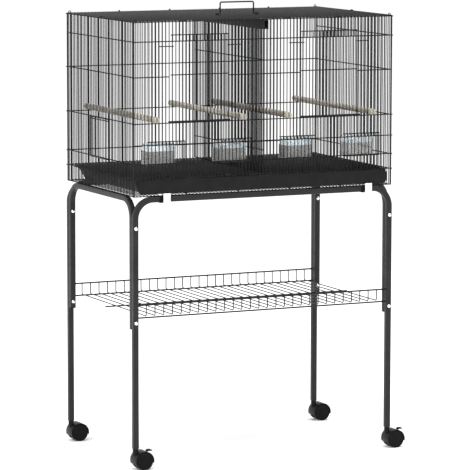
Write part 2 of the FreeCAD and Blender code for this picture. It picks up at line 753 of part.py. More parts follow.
def front_gaps(x):
    """Heights at which the front wall's upright wire at x is left out."""
    gaps = []
    pitch = size(FRONT_PITCH)
    nearly = 0.1
    edge = size("stout")
    if DOOR_STEPS[0] + nearly < abs(x) / pitch < DOOR_STEPS[1] - nearly:
        gaps.append((size("level_perch") + edge, size("level_upper") - edge))
    if any(abs(x - centre) / pitch < HATCH_REACH - nearly for centre in hatch_centres()):
        gaps.append((size("level_cup") + edge, size("level_hatch") - edge))
    if abs(x) < pitch:
        gaps.append((size("rail_low") - 0.4, size("cage_top")))
    return gaps


def front_panel():
    """Front wall: the tray's slot is open below it, and so are the doorways."""
    y = -wall_y()
    ends = (-wall_x(), wall_x())
    solids = []
    for x in columns():
        low = size("cage_bottom") if abs(x) > ends[1] - 1 else size("level_grate") - size("stout")
        for bottom, top in leave_out((low, upright_top()), front_gaps(x)):
            if top > bottom:
                solids.append(rod((x, y, bottom), (x, y, top), size("fine")))
    behind = y + cross_inset()
    end = size("cage_width") / 2
    for z in cross_levels("level_upper", "level_perch", "level_hatch", "level_cup", "level_grate"):
        solids.append(rod((-end, behind, z), (end, behind, z), size("stout")))
    inner, outer = (size("door_centre") + side * (size("door_width") / 2 + 6.6) for side in (-1, 1))
    z = size("level_middle")
    for start, stop in ((-end, -outer), (-inner, inner), (outer, end)):
        solids.append(rod((start, behind, z), (stop, behind, z), size("stout")))
    wire_node("front_panel", solids)


def rear_panel():
    y = wall_y()
    solids = [rod((x, y, size("cage_bottom")), (x, y, upright_top()), size("fine")) for x in columns()]
    before = y - cross_inset()
    end = size("cage_width") / 2
    for z in cross_levels("level_middle", "level_perch", "level_cup", "level_grate"):
        solids.append(rod((-end, before, z), (end, before, z), size("stout")))
    wire_node("rear_panel", solids)


def side_panel(label, side):
    """A side wall with its doorway between the cup and the perch levels."""
    x = side * wall_x()
    half_door = (SIDE_DOOR_REACH - 0.1) * 2 * wall_y() / size("bars_y")
    edge = size("stout")
    doorway = (size("level_cup") + edge, size("level_perch") - edge)
    solids = []
    for y in ranks():
        gaps = [doorway] if abs(y) < half_door else []
        for bottom, top in leave_out((size("cage_bottom"), upright_top()), gaps):
            solids.append(rod((x, y, bottom), (x, y, top), size("fine")))
    inside = x - side * cross_inset()
    end = wall_y() - size("fine") - 2 * size("stout") - 2 * size("weld")
    for z in cross_levels("level_upper", "level_middle", "level_perch", "level_cup", "level_grate"):
        solids.append(rod((inside, -end, z), (inside, end, z), size("stout")))
    wire_node(label, solids)


def roof_panel():
    """Fine wires from front to back, four struts below them and one wire across."""
    z = size("cage_top") - size("fine")
    end = size("cage_depth") / 2
    solids = [rod((x, -end, z), (x, end, z), size("fine")) for x in columns()]
    below = z - cross_inset()
    inside = wall_x() - cross_inset() - size("stout") - size("weld")
    solids.append(rod((-inside, 0, below), (inside, 0, below), size("stout")))
    near = size("stout") + size("weld")
    far = wall_y() - cross_inset() - size("stout") - size("weld")
    for x in strut_columns():
        for side in (-1, 1):
            solids.append(rod((x, side * near, below), (x, side * far, below), size("stout")))
    wire_node("roof_panel", solids)


def bottom_frame():
    """The rectangle that rests on the rails, and the wires from front to back below the tray.

    Four of them are stouter and carry the tray; the fine ones leave room for the clips.
    """
    radius = size("stout")
    z = size("cage_bottom") + radius
    y = wall_y() - cross_inset()
    end = size("cage_width") / 2
    solids = [rod((-end, side * y, z), (end, side * y, z), radius) for side in (-1, 1)]
    x = wall_x() - cross_inset()
    reach = y - radius - size("weld")
    solids += [rod((side * x, -reach, z), (side * x, reach, z), radius) for side in (-1, 1)]
    runner = radius + 0.3
    above = z + radius + runner + size("weld")
    reach = wall_y() - size("fine") - size("weld")
    solids += [rod((x, -reach, above), (x, reach, above), runner) for x in strut_columns()]
    fine = size("fine")
    above = z + radius + fine + size("weld")
    clips = (size("clip_left"), size("clip_left + clip_spacing"))
    taken = [(x, runner + fine) for x in strut_columns()]
    taken += [(x, size("clip_width") / 2 + 2 * fine) for x in clips]
    for x in columns()[1:-1]:
        if all(abs(x - centre) > room for centre, room in taken):
            solids.append(rod((x, -reach, above), (x, reach, above), fine))
    wire_node("bottom_frame", solids)


def floor_grate():
    """Fine wires from front to back above the tray, resting on the walls' lowest cross wires."""
    z = size("level_grate") + size("stout") + size("fine") + size("weld")
    end = wall_y() - size("fine") - size("weld")
    solids = [rod((x, -end, z), (x, end, z), size("fine")) for x in columns()[1:-1]]
    below = z - cross_inset()
    inside = wall_x() - cross_inset() - size("stout") - size("weld")
    for y in (-wall_y() / 2, 0, wall_y() / 2):
        solids.append(rod((-inside, y, below), (inside, y, below), size("stout")))
    wire_node("floor_grate", solids)


def corner_loops():
    """Rings that stand on the roof's corners."""
    body = new_body("corner_loops")
    x = "-(cage_width / 2 - fine - %s / 2)" % FRONT_PITCH
    sketch = new_sketch(body, "XZ", "cage_depth / 2 - 4.5")
    z = "cage_top + 1.7"
    draw_circle(sketch, x, z, "3.6")
    draw_circle(sketch, x, z, "1.8")
    ring = pad(body, sketch, "1.8", both_sides=True)
    repeat(body, [ring], (("x", "cage_width - 2 * fine - %s" % FRONT_PITCH), ("y", "cage_depth - 9")))


def tray():
    """Pull-out tray: sloping walls, a flat lip, an upright front and four runners."""
    body = new_body("tray")
    lip_x, back, front = "tray_lip_width / 2", "tray_back", "tray_front"
    lip = 2.5
    outlines = []
    for z, inset, radius in (("tray_low", "24", "22"), ("tray_high - %s" % lip, "7", "26")):
        sketch = new_sketch(body, "XY", z)
        draw_rounded_rectangle(sketch, "-%s + %s" % (lip_x, inset), "%s - %s" % (lip_x, inset),
                               "%s + 4 + %s" % (front, inset), "%s - %s" % (back, inset), radius)
        outlines.append(sketch)
    loft(body, "PartDesign::AdditiveLoft", outlines)
    rim = new_sketch(body, "XY", "tray_high - %s" % lip)
    draw_rounded_rectangle(rim, "-" + lip_x, lip_x, front + " + 1", back, "16")
    pad(body, rim, str(lip))
    hollow = []
    for z, inset, radius in (("tray_low + tray_wall", "26", "20"), ("tray_high + 0.01", "9", "24")):
        sketch = new_sketch(body, "XY", z)
        draw_rounded_rectangle(sketch, "-%s + %s" % (lip_x, inset), "%s - %s" % (lip_x, inset),
                               "%s + 4 + %s" % (front, inset), "%s - %s" % (back, inset), radius)
        hollow.append(sketch)
    before = body.Shape.Volume
    loft(body, "PartDesign::SubtractiveLoft", hollow)
    if not body.Shape.Volume < before * 0.5:
        raise RuntimeError("the tray isn't hollow")
    face = new_sketch(body, "XZ", "-(%s)" % front)
    half = lip_x + " - 4"
    draw_rounded_rectangle(face, "-%s + 4" % lip_x, half, "tray_low - 1.5", "tray_high", "12")
    pad(body, face, "2.5", backwards=True)
    runners = new_sketch(body, "XY", "tray_low - 2.1")
    for steps in STRUT_STEPS:
        x = "%s * %s" % (steps, FRONT_PITCH)
        draw_polygon(runners, ((x + " - 3", front + " + 30"), (x + " + 3", front + " + 30"),
                               (x + " + 3", back + " - 26"), (x + " - 3", back + " - 26")))
    pad(body, runners, "3")


def loft(body, kind, outlines):
    feature = body.newObject(kind, body.Name + "_loft")
    DOC.recompute()
    feature.Profile = outlines[0]
    feature.Sections = outlines[1:]
    DOC.recompute()


# ---- doors ----

def front_point(along, out, z):
    """The point that far along the front wall, that far out from its upright wires, at height z."""
    return (along, -wall_y() - out, z)


def left_point(along, out, z):
    return (-wall_x() - out, along, z)


def right_point(along, out, z):
    return (wall_x() + out, along, z)


def sliding_door(label, point, guides, sides, spaces, low, levels, overhang):
    """A wire door that slides up the two uprights of the wall named by guides.

    point places it on its wall. Its own upright wires run evenly between sides,
    its cross wires stand at the levels, and two short fingers on its bottom bar
    reach in beside the guides.
    """
    fine, stout, heavy = size("fine"), size("stout"), size("heavy")
    face = fine + size("slack")
    bar = face + heavy
    cross = face + stout
    upright = cross + stout + size("weld") + fine
    finger_end = 0.6 * fine
    beside = 2.4 * fine
    first, last = guides[0] - beside, guides[1] + beside
    solids = [rod(point(first - fine, bar, low), point(last + fine, bar, low), heavy)]
    for along in (first, last):
        solids.append(rod(point(along, -finger_end, low), point(along, face - size("weld"), low), fine))
    for z in levels:
        start, end = sides[0] - overhang, sides[1] + overhang
        solids.append(rod(point(start, cross, z), point(end, cross, z), stout))
    for along in evenly(*sides, spaces):
        foot = point(along, upright, low + heavy + size("weld"))
        solids.append(rod(foot, point(along, upright, levels[-1] + stout), fine))
    wire_node(label, solids)


def front_doors():
    pitch = size(FRONT_PITCH)
    levels = (size("door_middle"), size("door_high"))
    half = size("door_width") / 2
    for name, side in (("left", -1), ("right", 1)):
        guides = sorted(side * steps * pitch for steps in DOOR_STEPS)
        sides = [side * size("door_centre") + end * half for end in (-1, 1)]
        sliding_door("front_door_" + name, front_point, guides, sides, 16, size("door_low"), levels, 3.5)


def feeder_doors():
    reach = HATCH_REACH * size(FRONT_PITCH)
    half = size("hatch_width") / 2 - size("fine")
    for number, centre in enumerate(hatch_centres(), 1):
        guides = (centre - reach, centre + reach)
        sides = (centre - half, centre + half)
        levels = (size("hatch_high"),)
        sliding_door("feeder_door_%d" % number, front_point, guides, sides, 10, size("level_cup"), levels, 1.5)


def side_doors():
    pitch = 2 * wall_y() / size("bars_y")
    half = size("side_door_width") / 2 - size("fine")
    guides = (-SIDE_DOOR_REACH * pitch, SIDE_DOOR_REACH * pitch)
    top = size("level_perch")
    levels = (top - 4 * size("stout"), top)
    for name, point in (("left", left_point), ("right", right_point)):
        low = size("level_cup")
        sliding_door("side_door_" + name, point, guides, (-half, half), 11, low, levels, 2.5)


def door_guides():
    """Short wires on the front wall whose bent ends hold the large doors' side wires."""
    fine, stout = size("fine"), size("stout")
    near = fine + stout + size("weld")
    far = fine + 2 * size("slack") + 2 * stout + 2 * fine + size("weld") + stout
    z = size("guide_z")
    half = size("door_width") / 2
    solids = []
    for side in (-1, 1):
        for edge, away in ((size("door_centre") - half, -1), (size("door_centre") + half, 1)):
            steps = ((39.5, near), (13.3, near), (5.8, far), (-3.2, far))
            corners = [front_point(side * (edge + away * along), out, z) for along, out in steps]
            solids.append(bent_rod(corners, stout, 3))
    wire_node("door_guides", solids)


# ---- inside the cage ----

def feeder_cups():
    """Cups that rest by a tab on the cross wire below the feeder openings."""
    half, front, depth = "cup_width / 2", "cup_front", "cup_depth"
    for number, centre in enumerate(cup_centres(), 1):
        body = new_body("feeder_cup_%d" % number, "%.4f" % centre)
        outside = new_sketch(body, "XY", "cup_low")
        draw_rounded_rectangle(outside, "-" + half, half, front, "%s + %s" % (front, depth), "8")
        pad(body, outside, "cup_high - cup_low")
        inside = new_sketch(body, "XY", "cup_high")
        draw_rounded_rectangle(inside, "-%s + 2" % half, half + " - 2",
                               front + " + 2", "%s + %s - 2" % (front, depth), "6")
        cut_through(body, inside, "2 * (cup_high - cup_low - 2)")
        tab = new_sketch(body, "XY", "level_cup + stout + 0.1")
        draw_polygon(tab, (("-12", front + " - 2.8"), ("12", front + " - 2.8"),
                           ("12", front + " + 1"), ("-12", front + " + 1")))
        pad(body, tab, "2.4")


def cup_hoods():
    """Clear hoods on the cups, open towards the inside of the cage."""
    body = new_body("cup_hoods", z="cup_high + 0.05")
    rise = "hood_top - cup_high"
    front = "cup_front + 1.5"
    for centre in cup_centres():
        shell = new_sketch(body, "YZ", "%.4f" % centre)
        draw_polygon(shell, (
            (front, "0"),
            (front, rise + " - 9"),
            (front + " + 9", rise),
            (front + " + 36", rise),
            (front + " + 36", rise + " - 1.5"),
            (front + " + 9.6", rise + " - 1.5"),
            (front + " + 1.5", rise + " - 9.6"),
            (front + " + 1.5", "0"),
        ))
        pad(body, shell, "cup_width - 4", both_sides=True)
        for side in ("-cup_width / 2 + 2", "cup_width / 2 - 3.5"):
            cheek = new_sketch(body, "YZ", "%.4f + %s" % (centre, side))
            draw_polygon(cheek, (
                (front, "0"),
                (front, rise + " - 9"),
                (front + " + 9", rise),
                (front + " + 36", rise),
                (front + " + 46", "0"),
            ))
            pad(body, cheek, "1.5")


def perches():
    """Wooden dowels; a slot in each end straddles an upright wire of the wall."""
    for number, steps in enumerate(PERCH_STEPS, 1):
        body = new_body("perch_%d" % number, "%s * %s" % (steps, FRONT_PITCH), z="perch_z")
        dowel = new_sketch(body, "XZ")
        draw_circle(dowel, "0", "0", "perch_radius")
        pad(body, dowel, "perch_length", both_sides=True)
        slots = new_sketch(body, "XY")
        slot_start, past_end = "cage_depth / 2 - 2 * fine - 0.3", "perch_length / 2 + 1"
        wide = "fine + 0.35"
        draw_polygon(slots, (("-(%s)" % wide, slot_start), (wide, slot_start),
                             (wide, past_end), ("-(%s)" % wide, past_end)))
        draw_polygon(slots, (("-(%s)" % wide, "-(%s)" % past_end), (wide, "-(%s)" % past_end),
                             (wide, "-(%s)" % slot_start), ("-(%s)" % wide, "-(%s)" % slot_start)))
        cut_through(body, slots)


def divider_rail():
    """Channel under the roof, open below; its front end stands out of the front wall."""
    body = new_body("divider_rail")
    sketch = new_sketch(body, "XZ", "-(rail_front)")
    half, wall = "rail_width / 2", "rail_wall"
    draw_polygon(sketch, (
        ("-" + half, "rail_low"),
        ("-" + half, "rail_high"),
        (half, "rail_high"),
        (half, "rail_low"),
        ("%s - %s" % (half, wall), "rail_low"),
        ("%s - %s" % (half, wall), "rail_high - %s" % wall),
        ("-%s + %s" % (half, wall), "rail_high - %s" % wall),
        ("-%s + %s" % (half, wall), "rail_low"),
    ))
    pad(body, sketch, "rail_back - rail_front", backwards=True)


def divider_panel():
    """Wire screen that hangs in the rail and stands on the grate."""
    fine, stout, weld = size("fine"), size("stout"), size("weld")
    beam_x = stout + weld / 2
    bar_x = -fine - weld / 2
    end = wall_y() - cross_inset() - stout - 1.5
    low = size("level_grate") + stout + 2 * fine + weld + 0.3
    high = size("rail_low") + 10.5
    solids = []
    for y in evenly(-end + 1, end - 1, 44):
        solids.append(rod((bar_x, y, low), (bar_x, y, high), fine))
    for z in (low + stout, size("screen_low"), size("screen_high"), high - stout):
        solids.append(rod((beam_x, -end, z), (beam_x, end, z), stout))
    wire_node("divider_panel", solids)


def handle_eyelets():
    """Rings on the roof that hold the handle's pivots."""
    body = new_body("handle_eyelets", z="handle_pivot")
    place = "-6 * " + FRONT_PITCH
    ring = new_sketch(body, "YZ", place)
    draw_circle(ring, "handle_y", "0", "4.8")
    draw_circle(ring, "handle_y", "0", "handle_wire + 0.4")
    foot = new_sketch(body, "YZ", place)
    draw_circle(foot, "handle_y", "-5.6", "1.2")
    features = [pad(body, ring, "2.4", both_sides=True), pad(body, foot, "12", both_sides=True)]
    repeat(body, features, (("x", "12 * " + FRONT_PITCH),))


def handle():
    """Wire bail, upright, that folds down to either side of its pivots."""
    half, y = size("handle_width") / 2, size("handle_y")
    low, high = size("handle_pivot"), size("handle_top")
    pivot = half + size("handle_pin")
    corners = [(-pivot, y, low), (-half, y, low), (-half, y, high), (half, y, high), (half, y, low), (pivot, y, low)]
    wire_node("handle", [bent_rod(corners, size("handle_wire"), 4.5)])


# ---- the whole ----

def build():
    u_tube("front_tube", "XZ", "leg_span_x", "long_foot_z", "-leg_span_y / 2")
    u_tube("rear_tube", "XZ", "leg_span_x", "long_foot_z", "leg_span_y / 2")
    side_tube("left_side_tube", -1)
    side_tube("right_side_tube", 1)
    frame_bolts()
    frame_nuts()
    short_leg_plugs()
    caster_sockets()
    shelf_floor()
    shelf_rim("shelf_front_rim", -1)
    shelf_rim("shelf_rear_rim", 1)
    cage_clips()
    clip_saddles()
    casters()
    front_panel()
    rear_panel()
    side_panel("left_panel", -1)
    side_panel("right_panel", 1)
    roof_panel()
    bottom_frame()
    floor_grate()
    corner_loops()
    tray()
    front_doors()
    door_guides()
    feeder_doors()
    side_doors()
    feeder_cups()
    cup_hoods()
    perches()
    divider_rail()
    divider_panel()
    handle_eyelets()
    handle()


def export():
    """Check every object, then write one file for each sub-part."""
    DOC.recompute()
    for thing in DOC.Objects:
        if "Invalid" in thing.State or "Error" in thing.State:
            raise RuntimeError("%s: %s" % (thing.Name, thing.State))
    for node in NODES:
        if node.Shape.isNull() or not node.Shape.isValid() or not node.Shape.Solids:
            raise RuntimeError("%s: bad shape" % node.Label)
    os.makedirs("parts", exist_ok=True)
    for node in NODES:
        node.Shape.exportStep(os.path.join("parts", node.Label + ".step"))
        print("%-28s %3d solids  %9.0f mm3" % (node.Label, len(node.Shape.Solids), node.Shape.Volume))
    print(len(NODES), "sub-parts")


fill_sheet()
build()
export()
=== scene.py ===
"""Looks of a flight cage on its rolling stand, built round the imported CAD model."""
import json
import math

import bmesh
import bpy
import numpy
from mathutils import Matrix, Vector

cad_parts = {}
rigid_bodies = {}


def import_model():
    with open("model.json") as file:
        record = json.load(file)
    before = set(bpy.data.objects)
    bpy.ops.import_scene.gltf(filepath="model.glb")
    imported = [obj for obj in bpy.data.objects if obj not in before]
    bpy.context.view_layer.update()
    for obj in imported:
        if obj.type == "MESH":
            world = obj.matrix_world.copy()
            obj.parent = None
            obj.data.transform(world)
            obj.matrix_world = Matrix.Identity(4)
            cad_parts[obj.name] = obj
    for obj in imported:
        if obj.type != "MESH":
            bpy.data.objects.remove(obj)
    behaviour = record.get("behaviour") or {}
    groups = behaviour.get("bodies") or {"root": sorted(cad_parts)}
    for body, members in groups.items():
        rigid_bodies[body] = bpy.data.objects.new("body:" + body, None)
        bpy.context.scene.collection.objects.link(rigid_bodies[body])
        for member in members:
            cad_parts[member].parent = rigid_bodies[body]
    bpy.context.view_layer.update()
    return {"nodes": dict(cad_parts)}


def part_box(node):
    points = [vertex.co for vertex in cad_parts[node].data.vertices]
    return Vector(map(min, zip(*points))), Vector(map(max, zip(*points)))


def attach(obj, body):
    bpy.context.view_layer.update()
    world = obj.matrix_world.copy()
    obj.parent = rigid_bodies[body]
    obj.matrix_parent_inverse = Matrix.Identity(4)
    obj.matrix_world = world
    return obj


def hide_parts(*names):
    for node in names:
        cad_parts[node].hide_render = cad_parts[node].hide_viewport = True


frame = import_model()
MM = 0.001
CASTER_PLACES = ("front_left", "front_right", "rear_left", "rear_right")

# Radii of the CAD model's wires, in millimetres, and the coat of paint over them.
WIRE_RADII = (1.0, 1.3, 1.5, 1.6, 2.0, 2.25)
PAINT = 0.13 * MM


# ---- camera, floor and light ----

def place_camera():
    """The photograph's viewing angle: a long lens, a little above the cage and to its left."""
    place = Vector((-3.7166, -7.9051, 1.69035))
    yaw, pitch, roll = (math.radians(angle) for angle in (25.196, 7.238, 0.0986))
    ahead = Vector((math.sin(yaw) * math.cos(pitch), math.cos(yaw) * math.cos(pitch), -math.sin(pitch)))
    level = Vector((math.cos(yaw), -math.sin(yaw), 0))
    upward = level.cross(ahead)
    right = level * math.cos(roll) + upward * math.sin(roll)
    up = upward * math.cos(roll) - level * math.sin(roll)
    data = bpy.data.cameras.new("camera")
    data.sensor_width = 36
    data.lens = 245.7
    data.clip_start, data.clip_end = 0.5, 60
    camera = bpy.data.objects.new("camera", data)
    camera.matrix_world = Matrix.Translation(place) @ Matrix((
        (right.x, up.x, -ahead.x, 0),
        (right.y, up.y, -ahead.y, 0),
        (right.z, up.z, -ahead.z, 0),
        (0, 0, 0, 1),
    ))
    bpy.context.scene.collection.objects.link(camera)
    bpy.context.scene.camera = camera


def lay_floor():
    reach = 30
    corners = [(-reach, -reach, 0), (reach, -reach, 0), (reach, reach, 0), (-reach, reach, 0)]
    mesh = bpy.data.meshes.new("floor")
    mesh.from_pydata(corners, [], [(0, 1, 2, 3)])
    floor = bpy.data.objects.new("floor", mesh)
    bpy.context.scene.collection.objects.link(floor)
    material, tree, shader = new_material("floor_white", (0.96, 0.96, 0.96), 0.9)
    shader.inputs["Specular IOR Level"].default_value = 0
    mesh.materials.append(material)


def add_light(name, position, target, width, watts):
    data = bpy.data.lights.new(name, "AREA")
    data.size = width
    data.energy = watts
    light = bpy.data.objects.new(name, data)
    light.location = position
    light.rotation_mode = "QUATERNION"
    light.rotation_quaternion = (Vector(target) - Vector(position)).to_track_quat("-Z", "Y")
    bpy.context.scene.collection.objects.link(light)


def light_scene():
    world = bpy.data.worlds.new("studio")
    world.use_nodes = True
    background = world.node_tree.nodes["Background"]
    background.inputs["Color"].default_value = (1, 1, 1, 1)
    background.inputs["Strength"].default_value = 1.06
    bpy.context.scene.world = world
    middle = (0, 0, 0.7)
    add_light("key", (-4.5, -2.0, 4.5), middle, 2.5, 165)
    add_light("top", (0.5, -0.5, 5.5), middle, 3.0, 220)
    bpy.context.scene.view_settings.view_transform = "Standard"


# ---- materials ----

def new_material(name, colour, roughness, metallic=0.0):
    material = bpy.data.materials.new(name)
    material.use_nodes = True
    shader = material.node_tree.nodes["Principled BSDF"]
    shader.inputs["Base Color"].default_value = (*colour, 1)
    shader.inputs["Roughness"].default_value = roughness
    shader.inputs["Metallic"].default_value = metallic
    return material, material.node_tree, shader


def grain(tree, features_per_metre, stretch=(1, 1, 1), detail=3.0):
    """Noise fixed to the object, with about that many features to the metre."""
    place = tree.nodes.new("ShaderNodeTexCoord")
    spread = tree.nodes.new("ShaderNodeMapping")
    spread.inputs["Scale"].default_value = stretch
    noise = tree.nodes.new("ShaderNodeTexNoise")
    noise.inputs["Scale"].default_value = features_per_metre
    noise.inputs["Detail"].default_value = detail
    tree.links.new(place.outputs["Object"], spread.inputs["Vector"])
    tree.links.new(spread.outputs["Vector"], noise.inputs["Vector"])
    return noise.outputs["Fac"]


def tint(tree, shader, source, dark, light):
    """Base colour that wanders between two colours."""
    ramp = tree.nodes.new("ShaderNodeValToRGB")
    ramp.color_ramp.elements[0].position = 0.3
    ramp.color_ramp.elements[1].position = 0.7
    ramp.color_ramp.elements[0].color = (*dark, 1)
    ramp.color_ramp.elements[1].color = (*light, 1)
    tree.links.new(source, ramp.inputs["Fac"])
    tree.links.new(ramp.outputs["Color"], shader.inputs["Base Color"])


def vary_roughness(tree, shader, source, low, high):
    spread = tree.nodes.new("ShaderNodeMapRange")
    spread.inputs["From Min"].default_value = 0.3
    spread.inputs["From Max"].default_value = 0.7
    spread.inputs["To Min"].default_value = low
    spread.inputs["To Max"].default_value = high
    tree.links.new(source, spread.inputs["Value"])
    tree.links.new(spread.outputs["Result"], shader.inputs["Roughness"])


def raise_bumps(tree, shader, source, height, strength=1.0):
    bump = tree.nodes.new("ShaderNodeBump")
    bump.inputs["Distance"].default_value = height
    bump.inputs["Strength"].default_value = strength
    tree.links.new(source, bump.inputs["Height"])
    tree.links.new(bump.outputs["Normal"], shader.inputs["Normal"])


def grey(value, warmth=0.0):
    """A grey, or a nearly grey colour that leans to red, or to blue where warmth is negative."""
    return (value * (1 + warmth), value, value * (1 - warmth))


def powder_coat(name, dark, light, roughness, specular, pebbles=650):
    """Baked powder paint: a fine orange peel, and a sheen that changes a little along the metal."""
    material, tree, shader = new_material(name, grey(dark), roughness)
    shader.inputs["Specular IOR Level"].default_value = specular
    tint(tree, shader, grain(tree, 14, detail=5), grey(dark, -0.03), grey(light, -0.02))
    vary_roughness(tree, shader, grain(tree, 90), roughness - 0.07, roughness + 0.09)
    raise_bumps(tree, shader, grain(tree, pebbles, detail=4), 0.00012, 0.6)
    return material


def moulded_plastic(name, dark, light, roughness, grains=1500, specular=0.4):
    """Plastic with a fine moulded grain."""
    material, tree, shader = new_material(name, grey(dark), roughness)
    shader.inputs["Specular IOR Level"].default_value = specular
    tint(tree, shader, grain(tree, 35, detail=4), grey(dark), grey(light))
    vary_roughness(tree, shader, grain(tree, 160), roughness - 0.06, roughness + 0.1)
    raise_bumps(tree, shader, grain(tree, grains, detail=2), 0.00008, 0.5)
    return material


def plated_metal(name, value, roughness):
    """Chrome plating, bright and a little uneven."""
    material, tree, shader = new_material(name, grey(value), roughness, metallic=1.0)
    vary_roughness(tree, shader, grain(tree, 300), roughness - 0.06, roughness + 0.12)
    raise_bumps(tree, shader, grain(tree, 900), 0.00003, 0.3)
    return material


def milky_plastic(name):
    """Thin plastic that lets most of the light through, slightly scuffed."""
    material, tree, shader = new_material(name, (0.8, 0.82, 0.83), 0.12)
    shader.inputs["Transmission Weight"].default_value = 0.8
    shader.inputs["IOR"].default_value = 1.12
    tint(tree, shader, grain(tree, 40), (0.66, 0.66, 0.65), (0.78, 0.78, 0.77))
    vary_roughness(tree, shader, grain(tree, 120), 0.08, 0.18)
    raise_bumps(tree, shader, grain(tree, 60), 0.00005, 0.2)
    return material


def clear_plastic(name):
    """Clear plastic with a faint blue cast."""
    material, tree, shader = new_material(name, (0.86, 0.93, 0.97), 0.06)
    shader.inputs["Transmission Weight"].default_value = 0.85
    shader.inputs["IOR"].default_value = 1.3
    tint(tree, shader, grain(tree, 30), (0.8, 0.9, 0.95), (0.9, 0.95, 0.98))
    vary_roughness(tree, shader, grain(tree, 80), 0.03, 0.12)
    raise_bumps(tree, shader, grain(tree, 60), 0.0001, 0.2)
    return material


def dowel_wood(name):
    """Pale turned wood, its grain along the dowel."""
    material, tree, shader = new_material(name, (0.56, 0.52, 0.44), 0.6)
    along = (1, 0.05, 1)
    tint(tree, shader, grain(tree, 420, along, detail=6), (0.17, 0.15, 0.12), (0.46, 0.425, 0.365))
    vary_roughness(tree, shader, grain(tree, 200, along), 0.5, 0.75)
    raise_bumps(tree, shader, grain(tree, 900, along, detail=5), 0.00015, 0.5)
    return material


def make_materials():
    return {
        "frame_paint": powder_coat("frame_paint", 0.011, 0.017, 0.42, specular=0.22),
        "shelf_paint": powder_coat("shelf_paint", 0.007, 0.012, 0.42, specular=0.18, pebbles=900),
        "wire_paint": powder_coat("wire_paint", 0.006, 0.01, 0.45, specular=0.14, pebbles=1100),
        "bolt_chrome": plated_metal("bolt_chrome", 0.8, 0.16),
        "plug_plastic": moulded_plastic("plug_plastic", 0.006, 0.01, 0.5, specular=0.12),
        "clip_plastic": moulded_plastic("clip_plastic", 0.78, 0.86, 0.35),
        # Near-black saddles stand for the shaded left sides of the white clips: painted shade.
        "saddle_rubber": moulded_plastic("saddle_rubber", 0.004, 0.007, 0.7, grains=900, specular=0.06),
        "hood_plastic": moulded_plastic("hood_plastic", 0.005, 0.008, 0.36, specular=0.12),
        "lever_plastic": moulded_plastic("lever_plastic", 0.005, 0.008, 0.4, specular=0.12),
        "wheel_plastic": moulded_plastic("wheel_plastic", 0.005, 0.008, 0.45, specular=0.07),
        "tray_plastic": moulded_plastic("tray_plastic", 0.007, 0.011, 0.5, grains=800, specular=0.12),
        "rail_plastic": moulded_plastic("rail_plastic", 0.008, 0.012, 0.45, specular=0.18),
        "cup_plastic": milky_plastic("cup_plastic"),
        "clear_plastic": clear_plastic("clear_plastic"),
        "perch_wood": dowel_wood("perch_wood"),
    }


# ---- shapes ----

class Form:
    """Points and faces gathered from several skins, to become one piece."""

    def __init__(self):
        self.points = []
        self.faces = []

    def loft(self, rings, capped=True):
        """A skin over rings that all have the same number of points."""
        first = len(self.points)
        count = len(rings[0])
        for ring in rings:
            self.points.extend(ring)
        for step in range(len(rings) - 1):
            near = first + step * count
            far = near + count
            for index in range(count):
                following = (index + 1) % count
                self.faces.append((near + index, near + following, far + following, far + index))
        if capped:
            last = first + (len(rings) - 1) * count
            self.faces.append(tuple(first + index for index in reversed(range(count))))
            self.faces.append(tuple(last + index for index in range(count)))

    def sweep(self, path, outline, scales=None):
        """An outline of (across, along) pairs carried along a path without twisting."""
        rings = []
        tangents = path_tangents(path)
        side = tangents[0].orthogonal().normalized()
        for axis in (Vector((1, 0, 0)), Vector((0, 1, 0)), Vector((0, 0, 1))):
            if abs(axis.dot(tangents[0])) < 1e-6:
                side = axis
        for index, (point, tangent) in enumerate(zip(path, tangents)):
            side = (side - tangent * side.dot(tangent)).normalized()
            other = tangent.cross(side)
            scale = scales[index] if scales else 1
            rings.append([point + side * (across * scale) + other * (along * scale)
                          for across, along in outline])
        self.loft(rings)

    def wire(self, path, radius, sides=12):
        """A round wire whose cut ends are slightly rounded."""
        circle = [(radius * math.cos(turn), radius * math.sin(turn))
                  for turn in (2 * math.pi * step / sides for step in range(sides))]
        path = [Vector(point) for point in path]
        ahead = (path[1] - path[0]).normalized()
        behind = (path[-2] - path[-1]).normalized()
        ends = ((0, 0.5), (0.16, 0.86), (0.5, 1))
        points = [path[0] + ahead * (radius * depth) for depth, width in ends] + path[1:-1]
        scales = [width for depth, width in ends] + [1] * (len(path) - 2)
        points += [path[-1] + behind * (radius * depth) for depth, width in reversed(ends)]
        scales += [width for depth, width in reversed(ends)]
        self.sweep(points, circle, scales)

    def lathe(self, centre, axis, profile, sides=40):
        """A profile of (radius, height along the axis) turned about the axis through centre."""
        centre, axis = Vector(centre), Vector(axis)
        side = axis.orthogonal().normalized()
        other = axis.cross(side)
        rings = []
        for radius, height in profile:
            turns = (2 * math.pi * step / sides for step in range(sides))
            rings.append([centre + axis * height + (side * math.cos(turn) + other * math.sin(turn)) * radius
                          for turn in turns])
        self.loft(rings)

    def piece(self, name, body, slot, *nodes):
        """The finished object, riding on its body and standing for CAD nodes."""
        mesh = bpy.data.meshes.new(name)
        mesh.from_pydata(self.points, [], self.faces)
        return finish_piece(mesh, name, body, slot, nodes)


def finish_piece(mesh, name, body, slot, nodes, sharp_angle=38):
    shape = bmesh.new()
    shape.from_mesh(mesh)
    bmesh.ops.recalc_face_normals(shape, faces=shape.faces)
    shape.to_mesh(mesh)
    shape.free()
    mesh.shade_smooth()
    mesh.set_sharp_from_angle(angle=math.radians(sharp_angle))
    mesh.materials.clear()
    mesh.materials.append(MATERIALS[slot])
    thing = bpy.data.objects.new(name, mesh)
    bpy.context.scene.collection.objects.link(thing)
    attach(thing, body)
    if nodes:
        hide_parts(*nodes)
    return thing


def path_tangents(path):
    tangents = []
    for index in range(len(path)):
        before = path[max(index - 1, 0)]
        after = path[min(index + 1, len(path) - 1)]
        tangents.append((Vector(after) - Vector(before)).normalized())
    return tangents


